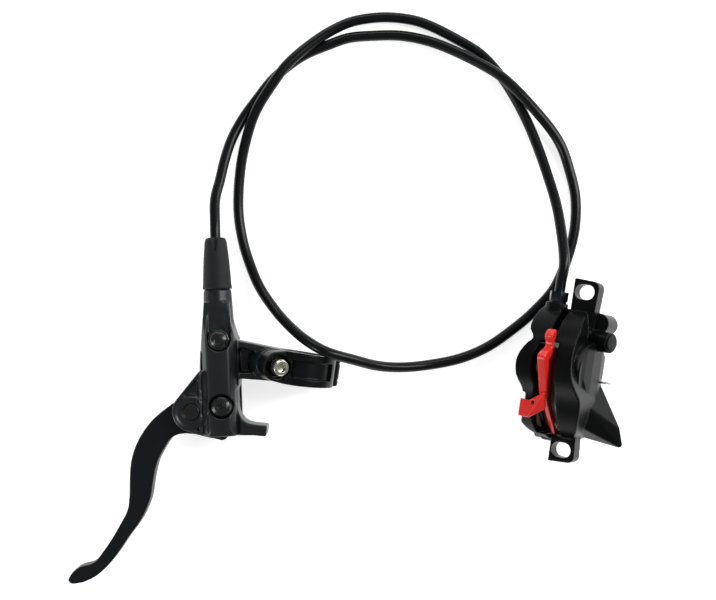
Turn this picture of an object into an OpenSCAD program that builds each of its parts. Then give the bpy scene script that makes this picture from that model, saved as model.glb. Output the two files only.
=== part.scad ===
// Hydraulic disc brake for a bicycle: lever with master cylinder, hose and four-piston caliper.
// Origin: centre of the handlebar clamp bore. X right, Y up the brake lever's barrel, Z up from the table.

/* [Handlebar clamp] */
// Diameter of the handlebar that the clamp holds
bar_d = 22.2; // [21.8:0.1:25.4]
// Wall of the clamp ring
ring_wall = 4.1; // [3.4:0.1:5]
// Width of the clamp along the bar
band_w = 15.4; // [15:0.1:18]
// Distance from the bar axis to the clamp bolt
bolt_offset = 17; // [16.5:0.1:18]
// Gap between the two halves of the clamp
clamp_split = 1.2; // [0.8:0.1:2]
// Diameter of the clamp bolt's thread
bolt_d = 5; // [4:0.5:5]
// Length of the clamp bolt under its head
bolt_len = 17; // [15:0.5:18]
// How far the clamp bolt is backed out
bolt_backed_out = 3; // [0:0.5:4]

/* [Master cylinder] */
// Bore of the master cylinder
master_bore = 10; // [9:0.1:10.6]
// Distance from the bar axis to the cylinder axis
cylinder_offset = 39; // [37:0.5:41]
// Height of the cylinder axis over the bar axis
cylinder_rise = 1.5; // [1:0.1:2]
// Length of the body above the clamp centre
body_top = 39; // [37:0.5:42]
// Length of the body below the clamp centre
body_bottom = 30; // [29:0.5:32]
// Diameter of the barrel at the hose end
barrel_d = 13.2; // [12.6:0.1:14]
// Thickness of the reservoir lid
lid_t = 2.4; // [2:0.1:3]
// Diameter of the bleed screw's head
bleed_head_d = 10; // [9:0.2:11]
// Diameter of the port screw's head
port_head_d = 9.6; // [9:0.2:10.4]

/* [Lever] */
// Diameter of the lever axle
axle_d = 6; // [5:0.5:6.5]
// Thickness of the lever blade at its root
blade_t = 9; // [8:0.2:9.6]

/* [Hose] */
// Outer diameter of the hose
hose_d = 5; // [4.8:0.1:5.2]
// Length of the rubber cover over the lever's hose nut
cover_len = 24.5; // [22:0.5:28]
// Width across the flats of the two hose nuts
nut_af = 8; // [7.5:0.5:9]

/* [Caliper] */
// Spacing of the two mount slots
mount_spacing = 74.2; // [70:0.1:76]
// Length of a mount slot
slot_len = 9.6; // [9:0.1:10.4]
// Width of a mount slot
slot_w = 7; // [6.4:0.1:7.4]
// Thickness of a mount ear
ear_t = 8.6; // [8:0.1:11]
// Tilt of the caliper as it lies
caliper_tilt = 30; // [28:0.5:32]
// Thickness of each caliper half from the disc plane
half_t = 14; // [13.6:0.1:15]
// Diameter of the upper pistons
upper_piston_d = 18; // [17:0.1:18.2]
// Diameter of the lower pistons
lower_piston_d = 14; // [13.6:0.1:14.4]
// Distance between the two piston axes
piston_pitch = 21.5; // [21.2:0.1:22]
// Thickness of a pad's steel plate
plate_t = 1.8; // [1.6:0.1:2]
// Thickness of a pad's friction lining
lining_t = 2.2; // [1.2:0.1:2.3]
// Thickness of the red transport spacer
spacer_t = 2.3; // [1.8:0.1:2.4]

/* [Hidden] */
$fn = 48;

// Small gaps between pieces that fit together
running_gap = 0.05;
slip_gap = 0.1;

// Places that follow from the sizes above
bar_r = bar_d / 2;
ring_r = bar_r + ring_wall;
table_z = -ring_r;
lever_lean = 2.2;
bar_lean = -8;
clamp_roll = 30;
cyl = [-cylinder_offset, cylinder_rise];
bore_r = master_bore / 2;
hose_r = hose_d / 2;
body_floor = table_z + lid_t;
top_face = 12;

module cyl_y(r, y0, y1, x = 0, z = 0) {
    // A cylinder along Y from y0 to y1
    translate([x, y0, z])
        rotate([-90, 0, 0])
            cylinder(h = y1 - y0, r = r);
}

module cyl_z(r, z0, z1, x = 0, y = 0) {
    // A cylinder along Z from z0 to z1
    translate([x, y, z0])
        cylinder(h = z1 - z0, r = r);
}

module cyl_x(r, x0, x1, y = 0, z = 0) {
    // A cylinder along X from x0 to x1
    translate([x0, y, z])
        rotate([0, 90, 0])
            cylinder(h = x1 - x0, r = r);
}

module box(x0, x1, y0, y1, z0, z1) {
    // A block given by its limits
    translate([x0, y0, z0])
        cube([x1 - x0, y1 - y0, z1 - z0]);
}

module turned_x(profile, y = 0, z = 0) {
    // A turned shape round an axis along X; profile holds [radius, x]
    translate([0, y, z])
        rotate([0, 90, 0])
            rotate_extrude()
                polygon(profile);
}

module turned_y(profile, x = 0, z = 0) {
    // A turned shape round an axis along Y; profile holds [radius, y]
    translate([x, 0, z])
        rotate([-90, 0, 0])
            rotate_extrude()
                polygon(profile);
}

function curve_point(p0, p1, p2, p3, t) =
    0.5 * (2 * p1 + (p2 - p0) * t + (2 * p0 - 5 * p1 + 4 * p2 - p3) * t * t
        + (3 * p1 - p0 - 3 * p2 + p3) * t * t * t);

// An open smooth line through hand-set points
function smooth_line(points, steps = 4) = concat([
    for (i = [0 : len(points) - 2], s = [0 : steps - 1])
        curve_point(points[max(i - 1, 0)], points[i], points[i + 1],
            points[min(i + 2, len(points) - 1)], s / steps)
], [points[len(points) - 1]]);

module in_lever() {
    // Lever frame: Y along the master cylinder
    rotate([0, 0, lever_lean])
        children();
}

module in_clamp() {
    // Clamp frame: Y along the bar
    rotate([0, 0, bar_lean])
        children();
}

module in_split() {
    // Split frame: X from the bar axis to the bolt, Z through the bolt's head
    in_clamp()
        rotate([0, clamp_roll, 0])
            mirror([1, 0, 0])
                children();
}

/* Handlebar clamp pieces */
hinge_u = -(bar_r + 5.2);
hinge_pin_r = 1.5;
knuckle_r = 3.2;
knuckle_w = band_w / 2;
bolt_r = bolt_d / 2;
bolt_boss_r = 7;
bolt_seat_v = 4.4;
hinge_w = band_w - 1.6;
hinge_edge = hinge_u + knuckle_r + slip_gap;
arm_root = 9.2;

module band_plan(extra = 0) {
    // Plan of the clamp band: wide at the bolt, narrower at the hinge
    hull() {
        translate([bolt_offset, 0])
            circle(r = bolt_boss_r + extra);
        translate([bolt_offset - 6, 0])
            square([4, band_w + 2 * extra], center = true);
        translate([hinge_u, 0])
            square([2 * knuckle_r, hinge_w + 2 * extra], center = true);
    }
}

module bolt_bore(r, v0, v1) {
    translate([bolt_offset, 0, v0])
        cylinder(h = v1 - v0, r = r);
}

module clamp_band() {
    // Hinged upper half of the clamp with a pocket between two ribs
    color("#15171a")
    in_split()
        difference() {
            intersection() {
                union() {
                    cyl_y(ring_r, -band_w, band_w);
                    box(0, bolt_offset + bolt_boss_r, -band_w, band_w, clamp_split / 2, bolt_seat_v + 2.6);
                    cyl_y(knuckle_r, -band_w, band_w, hinge_u);
                    box(hinge_u, -bar_r + 1, -band_w, band_w, 0, 3);
                }
                linear_extrude(height = 4 * ring_r, center = true)
                    band_plan();
            }
            cyl_y(bar_r, -band_w, band_w);
            box(hinge_edge, 2 * ring_r, -band_w, band_w, -ring_r, clamp_split / 2);
            box(-2 * ring_r, hinge_edge, -band_w, band_w, -ring_r, -knuckle_r / 2);
            for (side = [-1, 1])
                box(hinge_u - knuckle_r - 1, hinge_edge, side > 0 ? knuckle_w / 2 : -band_w,
                    side > 0 ? band_w : -knuckle_w / 2, -ring_r, 2.6);
            cyl_y(hinge_pin_r + running_gap, -band_w, band_w, hinge_u);
            bolt_bore(bolt_r + 0.3, 0, ring_r);
            bolt_bore(5.6, bolt_seat_v, ring_r);
            strap_pocket();
        }
}

module strap_pocket() {
    // Shallow pocket that follows the ring's curve
    difference() {
        box(-8.8, 11, -4, 4, 0, 2 * ring_r);
        cyl_y(ring_r - 1.5, -band_w, band_w);
    }
}

module clamp_hinge_pin() {
    // Pin that joins the band and the fixed half
    color("#8d8f92")
    in_split()
        cyl_y(hinge_pin_r, -hinge_w / 2 + 0.2, hinge_w / 2 - 0.2, hinge_u);
}

module clamp_bolt() {
    // Socket head bolt, backed out of its thread
    head_r = 3.8;
    head_h = 4.6;
    socket_r = 2.3;
    base = bolt_seat_v + bolt_backed_out;
    color("#c9c5ba")
    in_split()
        translate([bolt_offset, 0, base])
            difference() {
                union() {
                    translate([0, 0, -bolt_len])
                        cylinder(h = bolt_len + 1, r = bolt_r);
                    cylinder(h = head_h - 0.5, r = head_r);
                    translate([0, 0, head_h - 0.5])
                        cylinder(h = 0.5, r1 = head_r, r2 = head_r - 0.5);
                }
                translate([0, 0, head_h - 2.4])
                    cylinder(h = 3, r = socket_r, $fn = 6);
            }
}

/* Master cylinder body */
pivot = [-cylinder_offset - 13.1, -17.8];
pivot_boss_r = 7;
blade_boss_r = 7.2;
fork_gap = 0.3;
lug_top = cyl[1] + blade_t / 2 + 5.2;
lug_floor = cyl[1] - blade_t / 2 - 5.2;
nose_at = [13.1, -11.4];
nose_r = 3;
bore_mouth = -21.6;
bore_end = 22;
port_r = 4;
port_floor = 27;
bleed_y = 15.3;
port_screw_y = -15.8;
screw_x = -cylinder_offset + 0.8;
screw_seat = top_face - 2.8;
screw_floor = cyl[1] + bore_r + 0.6;
seal_t = 0.6;
arch_len = 10.4;
bleed_head_r = bleed_head_d / 2;
port_head_r = port_head_d / 2;
reservoir_x = [-cylinder_offset - 6.6, -cylinder_offset + 6];
reservoir_y = [-17, 10];
gallery_x = -cylinder_offset - 6.4;
gallery_z = cyl[1] + bore_r + 1.2;

module body_plan() {
    // Outline of the body block from above
    polygon([
        [-48.2, -body_bottom], [-48.6, 2], [-47.4, 12], [-45.6, 26], [-45.2, body_top - 6],
        [-33, body_top - 6], [-32.6, 24], [-31, 16], [-30, 12], [-30, -6], [-31.6, -9], [-31.6, -20],
        [-31, -body_bottom]
    ]);
}

module body_section() {
    // Outline of the body block looking along the cylinder
    polygon([
        [-44.2, top_face], [-33.8, top_face], [-31.6, 9.4], [-30, 5], [-30, -8], [-31.6, body_floor],
        [-46.4, body_floor], [-48.6, -8], [-48.6, 4], [-46.6, 9]
    ]);
}

module body_side() {
    // Outline of the body block from the side, as [y, z]
    polygon([
        [-body_bottom, body_floor + 3], [-body_bottom, top_face - 1], [-body_bottom + 2, top_face],
        [17, top_face], [26, top_face - 1.8], [body_top - 6, top_face - 3.9],
        [body_top - 6, -4], [26, -6], [15, body_floor], [-24, body_floor]
    ]);
}

module body_block() {
    intersection() {
        linear_extrude(height = 60, center = true)
            body_plan();
        translate([0, 60, 0])
            rotate([90, 0, 0])
                linear_extrude(height = 120)
                    body_section();
        translate([-60, 0, 0])
            rotate([90, 0, 90])
                linear_extrude(height = 60)
                    body_side();
    }
}

module barrel() {
    // Turned barrel round the bore with its end for the hose nut
    barrel_r = barrel_d / 2;
    turned_y([
        [0, -body_bottom + 4], [bore_r + 3, -body_bottom + 4], [bore_r + 3, 8], [barrel_r + 0.6, 24],
        [barrel_r, body_top - 0.5], [barrel_r - 0.5, body_top], [0, body_top]
    ], cyl[0], cyl[1]);
}

module pivot_lugs() {
    // Fork that holds the lever axle
    for (level = [[lug_floor, cyl[1] - blade_t / 2 - fork_gap], [cyl[1] + blade_t / 2 + fork_gap, lug_top]])
        translate([0, 0, level[0]])
            linear_extrude(height = level[1] - level[0])
                lug_outline();
    // Raised ring round the axle's cap
    cyl_z(pivot_boss_r, lug_top - 1, lug_top + 0.8, pivot[0], pivot[1]);
}

module lug_outline() {
    // Outline of a fork lug, from the pivot to the body
    hull() {
        translate(pivot)
            circle(r = pivot_boss_r + 2.2);
        translate([-48, -body_bottom + 1])
            square([2, body_bottom]);
    }
}

module lug_web() {
    // Sunk web inside the upper lug's rim
    translate([0, 0, lug_top - 1.6])
        linear_extrude(height = 4)
            difference() {
                offset(r = -1.5)
                    lug_outline();
                translate(pivot)
                    circle(r = pivot_boss_r + 1);
                square_between(-48.8, 0, -60, 60);
            }
}

module bar_foot() {
    // Foot that braces the body against the bar
    linear_extrude(height = 14, center = true)
        polygon(concat(
            [[-34, -12], [-31.6, -12]],
            smooth_line([[-31.6, -14], [-30.4, -20], [-26.6, -24.4], [-17.4, -26]]),
            [[-18.2, -31.2], [-24, -30.4], [-34, -body_bottom]]
        ));
}

module clamp_arm() {
    // Lower half of the clamp and the arm that carries it
    in_split()
        difference() {
            intersection() {
                union() {
                    cyl_y(ring_r, -band_w, band_w);
                    box(0, bolt_offset + bolt_boss_r, -band_w, band_w, -12, -clamp_split / 2);
                    cyl_y(knuckle_r, -band_w, band_w, hinge_u);
                    box(hinge_u, -bar_r + 1, -band_w, band_w, -3, 0);
                }
                linear_extrude(height = 4 * ring_r, center = true)
                    band_plan();
            }
            box(hinge_edge, 2 * ring_r, -band_w, band_w, -clamp_split / 2, ring_r);
            box(hinge_u - knuckle_r - 1, hinge_edge, -band_w, band_w, knuckle_r / 2, ring_r);
            box(hinge_u - knuckle_r - 1, hinge_edge, -knuckle_w / 2 - slip_gap,
                knuckle_w / 2 + slip_gap, -3.4, ring_r);
        }
    in_clamp()
        difference() {
            translate([0, 0, -7.5])
                linear_extrude(height = 13.1)
                    polygon([[-36, -arm_root], [-13, -band_w / 2], [-13, band_w / 2], [-36, arm_root]]);
            translate([0, 0, -1])
                linear_extrude(height = 20)
                    offset(r = 1.6)
                        polygon([[-29.6, -4.4], [-23.4, -3.4], [-23.4, 3.4], [-29.6, 4.4]]);
        }
}

module master_body() {
    // Cast body: barrel, reservoir, lever fork, clamp arm and bar foot
    color("#2c3031")
    in_lever()
        difference() {
            union() {
                body_block();
                barrel();
                pivot_lugs();
                bar_foot();
                rotate([0, 0, -lever_lean])
                    clamp_arm();
            }
            rotate([0, 0, -lever_lean])
                clamp_cuts();
            cylinder_cuts();
            lever_cuts();
            top_cuts();
            lug_web();
            reservoir_cuts();
        }
}

module clamp_cuts() {
    in_clamp()
        cyl_y(bar_r, -60, 60);
    in_split()
        bolt_bore(bolt_r + 0.02, -14, ring_r);
    in_split()
        cyl_y(hinge_pin_r + 0.02, -band_w, band_w, hinge_u);
}

module cylinder_cuts() {
    // Bore for the piston, hose port and the passage between them
    cyl_y(bore_r, bore_mouth - 8, bore_end, cyl[0], cyl[1]);
    cyl_y(1.2, bore_end - 1, port_floor + 1, cyl[0], cyl[1]);
    cyl_y(port_r, port_floor, body_top + 1, cyl[0], cyl[1]);
    // Timing holes down to the reservoir
    cyl_z(0.6, body_floor, 0, cyl[0], 0);
    cyl_z(1, body_floor, 0, cyl[0], -6);
    // Drillings from the bleed screw past the bore to the reservoir
    cyl_x(0.6, gallery_x - 0.6, screw_x, bleed_y, gallery_z);
    cyl_z(0.6, -6.4, gallery_z, gallery_x, bleed_y);
    cyl_y(0.6, reservoir_y[1] - 1, bleed_y + 0.6, gallery_x, -5.8);
}

module lever_cuts() {
    // Slot for the lever root between the lugs, open at the bottom
    half = blade_t / 2 + fork_gap;
    translate([0, 0, cyl[1] - half])
        linear_extrude(height = 2 * half) {
            translate(pivot)
                circle(r = blade_boss_r + 0.4);
            polygon([
                [-62, -40], [-62, -12], pivot + [0, blade_boss_r + 0.4], pivot + [blade_boss_r + 0.4, 0],
                pivot + [8.2, -3.2], [-41, bore_mouth], [-32.4, bore_mouth], [-32.4, -40]
            ]);
        }
    cyl_z(axle_d / 2 + 0.02, lug_floor - 1, lug_top + 2, pivot[0], pivot[1]);
    cyl_z(3.9, lug_top - 0.6, lug_top + 2, pivot[0], pivot[1]);
    cyl_z(axle_d / 2 + 1.7, body_floor - 1, lug_floor, pivot[0], pivot[1]);
}

module top_cuts() {
    // Scoop and screw seats in the top face
    translate([screw_x, bleed_y, screw_seat])
        cylinder(h = 20, r = bleed_head_r + 0.4);
    translate([screw_x, port_screw_y, screw_seat])
        cylinder(h = 20, r = port_head_r + 0.9);
    for (y = [bleed_y, port_screw_y])
        cyl_z(1.6, screw_floor, top_face, screw_x, y);
    // Arched hollow above the bleed screw, deeper towards the screw
    translate([screw_x, bleed_y, screw_seat + 0.2])
        rotate([-2.2, 0, 0])
            linear_extrude(height = 8)
                hull() {
                    circle(r = 5.4);
                    translate([0, arch_len])
                        circle(r = 5.2);
                }
}

module reservoir_cuts() {
    // Reservoir under the bore, with a ledge for the diaphragm's rim
    box(reservoir_x[0], reservoir_x[1], reservoir_y[0], reservoir_y[1], body_floor - 1, cyl[1] - bore_r - 1.6);
    for (at = lid_screw_places())
        cyl_z(1.25, body_floor - 1, body_floor + 5, at[0], at[1]);
}

function lid_screw_places() = [
    for (y = [reservoir_y[0] - 3.4, reservoir_y[1] + 3.4])
        [cyl[0], y]
];

module port_plug(y, r, socket) {
    // Domed screw over a ring seal, with its short thread
    translate([screw_x, y, screw_seat + seal_t]) {
        difference() {
            rotate_extrude()
                polygon([[0, 0], [r - 0.4, 0], [r, 0.4], [r, 1.4], [r - 0.7, 2.4], [r - 2, 3], [0, 3.3]]);
            translate([0, 0, 1.4])
                cylinder(h = 4, r = socket, $fn = 6);
        }
        translate([0, 0, screw_floor + 0.2 - screw_seat - seal_t])
            cylinder(h = screw_seat + seal_t - screw_floor, r = 1.55);
    }
}

module port_ring(y) {
    // Ring seal under one of the two plugs
    translate([screw_x, y, screw_seat])
        difference() {
            cylinder(h = seal_t, r = 3.4);
            translate([0, 0, -1])
                cylinder(h = 3, r = 1.6);
        }
}

module bleed_screw() {
    // Bleed screw of the master cylinder
    color("#14181a")
    in_lever()
        port_plug(bleed_y, bleed_head_r, 1);
}

module bleed_seal() {
    color("#101010")
    in_lever()
        port_ring(bleed_y);
}

module port_screw() {
    // Socket screw that closes the lower port
    color("#14181a")
    in_lever()
        port_plug(port_screw_y, port_head_r, 1.7);
}

module port_seal() {
    color("#101010")
    in_lever()
        port_ring(port_screw_y);
}

module reservoir_diaphragm() {
    // Rubber cup that lets the reservoir breathe
    wall = 0.8;
    color("#1c1c1e")
    in_lever()
        difference() {
            box(reservoir_x[0] + slip_gap, reservoir_x[1] - slip_gap, reservoir_y[0] + slip_gap,
                reservoir_y[1] - slip_gap, body_floor, body_floor + 4);
            box(reservoir_x[0] + wall + 0.4, reservoir_x[1] - wall - 0.4, reservoir_y[0] + wall + 0.4,
                reservoir_y[1] - wall - 0.4, body_floor - 1, body_floor + 4 - wall);
        }
}

module reservoir_lid() {
    // Lid under the reservoir, held by two screws
    color("#1b1d1f")
    in_lever()
        difference() {
            translate([0, 0, table_z])
                linear_extrude(height = lid_t)
                    offset(r = 2)
                        square_between(reservoir_x[0], reservoir_x[1], reservoir_y[0] - 5, reservoir_y[1] + 5);
            for (at = lid_screw_places()) {
                cyl_z(1.6, table_z - 1, body_floor + 1, at[0], at[1]);
                cyl_z(2.9, table_z - 1, table_z + 1.4, at[0], at[1]);
            }
        }
}

module square_between(x0, x1, y0, y1) {
    translate([x0, y0])
        square([x1 - x0, y1 - y0]);
}

module lid_screws() {
    // Two flat head screws of the lid
    color("#77797b")
    in_lever()
        for (at = lid_screw_places())
            translate([at[0], at[1], table_z + 0.2])
                difference() {
                    union() {
                        cylinder(h = 1.2, r = 2.8);
                        cylinder(h = 6.4, r = 1.2);
                    }
                    translate([0, 0, -1])
                        cylinder(h = 1.7, r = 1.1, $fn = 6);
                }
}

/* Lever and piston */
axle_r = axle_d / 2;
bush_r = axle_r + 1.2;
piston_face = bore_mouth + 3;
piston_len = 18;
piston_groove = [piston_face + 4, piston_face + 6.2];
rod_end = pivot[1] + nose_at[1] + nose_r + 0.1;

module lever_blade() {
    // Lever blade with its finger hook and the nose that pushes the rod
    outer = [[-9.2, 4.2], [-19, -3.1], [-25.8, -11.7], [-29.6, -20.4], [-31, -28.7], [-31.7, -40], [-32.8, -45.6],
        [-35.5, -50.6], [-41, -59.3], [-45.6, -65.4], [-48.9, -69.1], [-51.8, -70.4], [-56, -71.3],
        [-59.8, -73.8], [-62.2, -77.6]];
    tip = [[-60.2, -79.4]];
    inner = [[-55, -78.8], [-49.2, -76.4], [-43.4, -71.8], [-38, -65.7], [-32.7, -58.4], [-27.3, -51.6],
        [-24, -46], [-21.5, -39.7], [-19.9, -31.6], [-17.7, -23.4], [-13.9, -16.6], [-10.6, -12.3],
        [-6, -10.6], [0, -11], [5.6, -12.6], [11, -13.8]];
    color("#1d2124")
    in_lever()
        translate([pivot[0], pivot[1], cyl[1] - blade_t / 2])
            difference() {
                union() {
                    linear_extrude(height = blade_t)
                        polygon(concat(smooth_line(outer, 3), tip, smooth_line(inner, 3), [[10, -9.8], [5.4, -5.4]]));
                    cylinder(h = blade_t, r = blade_boss_r);
                    translate([nose_at[0], nose_at[1], 0])
                        cylinder(h = blade_t, r = nose_r);
                }
                translate([0, 0, -1])
                    cylinder(h = blade_t + 2, r = bush_r + 0.02);
            }
}

module lever_bushes() {
    // Two plain bushes pressed into the lever
    color("#b8a06a")
    in_lever()
        for (z0 = [cyl[1] - blade_t / 2, cyl[1] + blade_t / 2 - 3.6])
            translate([pivot[0], pivot[1], z0])
                difference() {
                    cylinder(h = 3.6, r = bush_r);
                    translate([0, 0, -1])
                        cylinder(h = 6, r = axle_r + running_gap);
                }
}

module lever_axle() {
    // Axle with its round cap and a groove for the circlip
    color("#1a1c1e")
    in_lever()
        translate([pivot[0], pivot[1], 0])
            difference() {
                union() {
                    translate([0, 0, lug_floor - 1.6])
                        cylinder(h = lug_top - lug_floor + 1.2, r = axle_r);
                    translate([0, 0, lug_top - 0.6])
                        cylinder(h = 1.6, r = 3.7);
                }
                translate([0, 0, lug_floor - 0.8])
                    difference() {
                        cylinder(h = 0.7, r = axle_r + 1);
                        translate([0, 0, -1])
                            cylinder(h = 3, r = axle_r - 0.5);
                    }
            }
}

module axle_circlip() {
    // Circlip that holds the axle from below
    color("#8d8f92")
    in_lever()
        translate([pivot[0], pivot[1], lug_floor - 0.75])
            difference() {
                cylinder(h = 0.6, r = axle_r + 1.3);
                translate([0, 0, -1])
                    cylinder(h = 3, r = axle_r - 0.45);
                translate([0, -1.6, -1])
                    cube([8, 3.2, 3]);
            }
}

module push_rod() {
    // Rod between the lever's nose and the piston
    color("#9a9c9e")
    in_lever() {
        cyl_y(3.4, rod_end, rod_end + 1.8, cyl[0], cyl[1]);
        cyl_y(2, rod_end + 1, piston_face + 5, cyl[0], cyl[1]);
    }
}

module master_piston() {
    // Piston with a socket for the rod and a groove for the rear cup
    r = bore_r - running_gap;
    color("#b9bcbe")
    in_lever()
        difference() {
            turned_y([
                [0, piston_face], [r, piston_face], [r, piston_groove[0]], [r - 1.6, piston_groove[0]],
                [r - 1.6, piston_groove[1]], [r, piston_groove[1]], [r, piston_face + piston_len - 3],
                [r - 1.8, piston_face + piston_len - 3], [r - 1.8, piston_face + piston_len],
                [0, piston_face + piston_len]
            ], cyl[0], cyl[1]);
            cyl_y(2 + running_gap, piston_face - 1, piston_face + 5, cyl[0], cyl[1]);
        }
}

module cup(y0, y1) {
    // Rubber cup round the piston
    turned_y([
        [bore_r - 1.6, y0], [bore_r - 0.3, y0], [bore_r - 0.02, y1 - 0.6], [bore_r - 0.02, y1],
        [bore_r - 0.6, y1], [bore_r - 0.9, y0 + 0.9], [bore_r - 1.6, y0 + 0.9]
    ], cyl[0], cyl[1]);
}

module primary_cup() {
    // Cup on the pressure side of the piston
    color("#18181a")
    in_lever()
        cup(piston_face + piston_len - 2.9, piston_face + piston_len - 0.4);
}

module secondary_cup() {
    // Cup that keeps the fluid in at the back
    color("#18181a")
    in_lever()
        cup(piston_groove[0] + 0.05, piston_groove[1] - 0.05);
}

// Closed tube swept along points, with its ends capped
function unit(v) = v / norm(v);
function tangent(p, i) = unit(p[min(i + 1, len(p) - 1)] - p[max(i - 1, 0)]);
function across(t) = unit(cross(t, abs(t[2]) < 0.9 ? [0, 0, 1] : [1, 0, 0]));

module swept_tube(points, r, sides) {
    n = len(points);
    rings = [
        for (i = [0 : n - 1])
            let (t = tangent(points, i), a = across(t), b = cross(a, t))
            for (k = [0 : sides - 1])
                points[i] + r * (cos(360 * k / sides) * a + sin(360 * k / sides) * b)
    ];
    walls = [
        for (i = [0 : n - 2], k = [0 : sides - 1])
            let (j = (k + 1) % sides)
            [i * sides + k, i * sides + j, (i + 1) * sides + j, (i + 1) * sides + k]
    ];
    start = [for (k = [0 : sides - 1]) sides - 1 - k];
    end = [for (k = [0 : sides - 1]) (n - 1) * sides + k];
    polyhedron(points = rings, faces = concat([start], walls, [end]), convexity = 8);
}

module piston_spring() {
    // Return spring in front of the piston
    y0 = piston_face + piston_len + 0.4;
    y1 = bore_end - 0.6;
    turns = 7;
    color("#a5a7a9")
    in_lever()
        swept_tube([
            for (i = [0 : turns * 12])
                [cyl[0] + 3.4 * cos(30 * i), y0 + (y1 - y0) * i / (turns * 12), cyl[1] + 3.4 * sin(30 * i)]
        ], 0.45, 6);
}

module piston_retainer() {
    // Ring that keeps the piston in the bore
    color("#8d8f92")
    in_lever()
        difference() {
            cyl_y(bore_r - 0.02, bore_mouth + 1.2, bore_mouth + 2.6, cyl[0], cyl[1]);
            cyl_y(3.5, bore_mouth, bore_mouth + 4, cyl[0], cyl[1]);
        }
}

/* Hose and its fittings */
cover_top = body_top + cover_len;
nut_hex_r = nut_af / sqrt(3);
hose_gap = 0.05;

module hose_cover() {
    // Rubber cover over the hose nut, wide at the body
    color("#1f2324")
    in_lever()
        difference() {
            turned_y([
                [0, body_top], [6.7, body_top], [6.8, body_top + 1], [6.3, body_top + 9], [5.6, cover_top - 6],
                [5.2, cover_top - 1.2], [4.4, cover_top], [0, cover_top]
            ], cyl[0], cyl[1]);
            cyl_y(hose_r + hose_gap, body_top - 1, cover_top + 1, cyl[0], cyl[1]);
            cyl_y(nut_hex_r + 0.2, body_top - 1, body_top + 9, cyl[0], cyl[1]);
        }
}

module hose_nut(length, hex) {
    // Flare nut along Y from 0, thread first
    difference() {
        union() {
            cyl_y(port_r - running_gap, 0, length);
            translate([0, length, 0])
                rotate([-90, 0, 0])
                    cylinder(h = hex, r = nut_hex_r, $fn = 6);
        }
        cyl_y(hose_r + hose_gap, -1, length + hex + 1);
    }
}

module olive() {
    // Brass ring that seals on the hose, along Y from 0
    turned_y([
        [hose_r + 0.02, 0], [3.2, 0], [3.8, 1.4], [3.8, 2.2], [3.2, 3.6], [hose_r + 0.02, 3.6]
    ]);
}

module insert_barb() {
    // Barbed insert in the hose end, along Y from 0
    difference() {
        union() {
            cyl_y(hose_r, -0.8, 0);
            cyl_y(1.15, -0.1, 8);
        }
        cyl_y(0.7, -2, 9);
    }
}

module lever_hose_nut() {
    // Nut that clamps the hose into the master cylinder
    color("#5c5f61")
    in_lever()
        translate([cyl[0], port_floor + 4.8, cyl[1]])
            hose_nut(body_top - port_floor - 4.8 + 0.3, 6.4);
}

module lever_olive() {
    // Olive at the lever end
    color("#b8964a")
    in_lever()
        translate([cyl[0], port_floor + 1.1, cyl[1]])
            olive();
}

// Route of the free hose: points set by hand along the photographed loops, from the cover to the caliper
hose_route = [
    [-42, 80, -1.7], [-40, 90, -4.7], [-38, 100, -7.4], [-35, 110, -9.8], [-30, 120, -11.6],
    [-23, 130, -12.6], [-14, 141, -12.7], [-1, 151, -12.7], [13, 157, -12.7], [22, 160, -12.7],
    [33, 161, -12.7], [47, 161, -12.5], [61, 158, -11.6], [75, 152, -9.7], [91, 143, -7.2],
    [100, 136, -7], [109, 127, -8], [119, 116, -10.2], [125, 107, -11.6], [129, 96, -12.5],
    [132, 83, -12.7], [132, 70, -12.7], [130, 59, -12.7], [126, 47, -12.7], [121, 37, -12.7],
    [113, 28, -12.7], [104, 20, -12.7], [90, 10, -12.7], [76, 4, -12.6], [61, 1, -11.2], [48, 0, -7.2],
    [36, 1, -0.6], [24, 4.4, 7.8], [12, 8.2, 13.8], [3, 13, 11], [-5, 19, 3.8], [-13, 27, -3.6],
    [-21, 38, -9], [-26, 49, -11.5], [-30, 62, -12.4], [-32, 77, -12.5], [-31, 95, -11.6],
    [-28, 110, -10.4], [-23, 124, -8.6], [-14, 138, -7.2], [-7, 147, -7.8], [3, 156, -9.7],
    [13, 163, -11.3], [24, 168, -12.3], [38, 170, -12.6], [51, 169, -12.7], [61, 166, -12.7],
    [73, 160, -12.7], [86, 152, -12.7], [96, 141, -12.7], [103, 130, -12.5], [109, 118, -12],
    [114, 105, -10.8], [118, 92, -8.6], [121, 80, -5.4], [122.6, 68, -1.2]
];

module hose() {
    // Hose from the master cylinder to the caliper
    lever_exit = on_lever([cyl[0], cover_top, cyl[1]]);
    lever_way = on_lever([cyl[0], cover_top + 6, cyl[1] - 0.4]);
    caliper_exit = on_caliper([fitting[0], hose_port_y + 12, fitting[1]]);
    caliper_way = on_caliper([fitting[0], hose_port_y + 22, fitting[1]]);
    color("#1c2024") {
        swept_tube(concat([lever_exit, lever_way], hose_route, [caliper_way, caliper_exit]), hose_r - 0.04, 10);
        in_lever()
            translate([cyl[0], 0, cyl[1]])
                hose_end(port_floor + 1, cover_top + 1);
        in_caliper()
            translate([fitting[0], 0, fitting[1]])
                hose_end(hose_port_y - port_depth + 1.2, hose_port_y + 13);
    }
}

module hose_end(y0, y1) {
    // Straight end of the hose with its bore
    difference() {
        cyl_y(hose_r, y0, y1);
        cyl_y(1.2, y0 - 1, y0 + 9);
    }
}

module hose_inserts() {
    // Barbed inserts in both hose ends
    color("#c2c4c6") {
        in_lever()
            translate([cyl[0], port_floor + 1, cyl[1]])
                insert_barb();
        in_caliper()
            translate([fitting[0], hose_port_y - port_depth + 1.2, fitting[1]])
                insert_barb();
    }
}

function turn_z(p, a) = [p[0] * cos(a) - p[1] * sin(a), p[0] * sin(a) + p[1] * cos(a), p[2]];
function on_lever(p) = turn_z(p, lever_lean);

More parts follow.
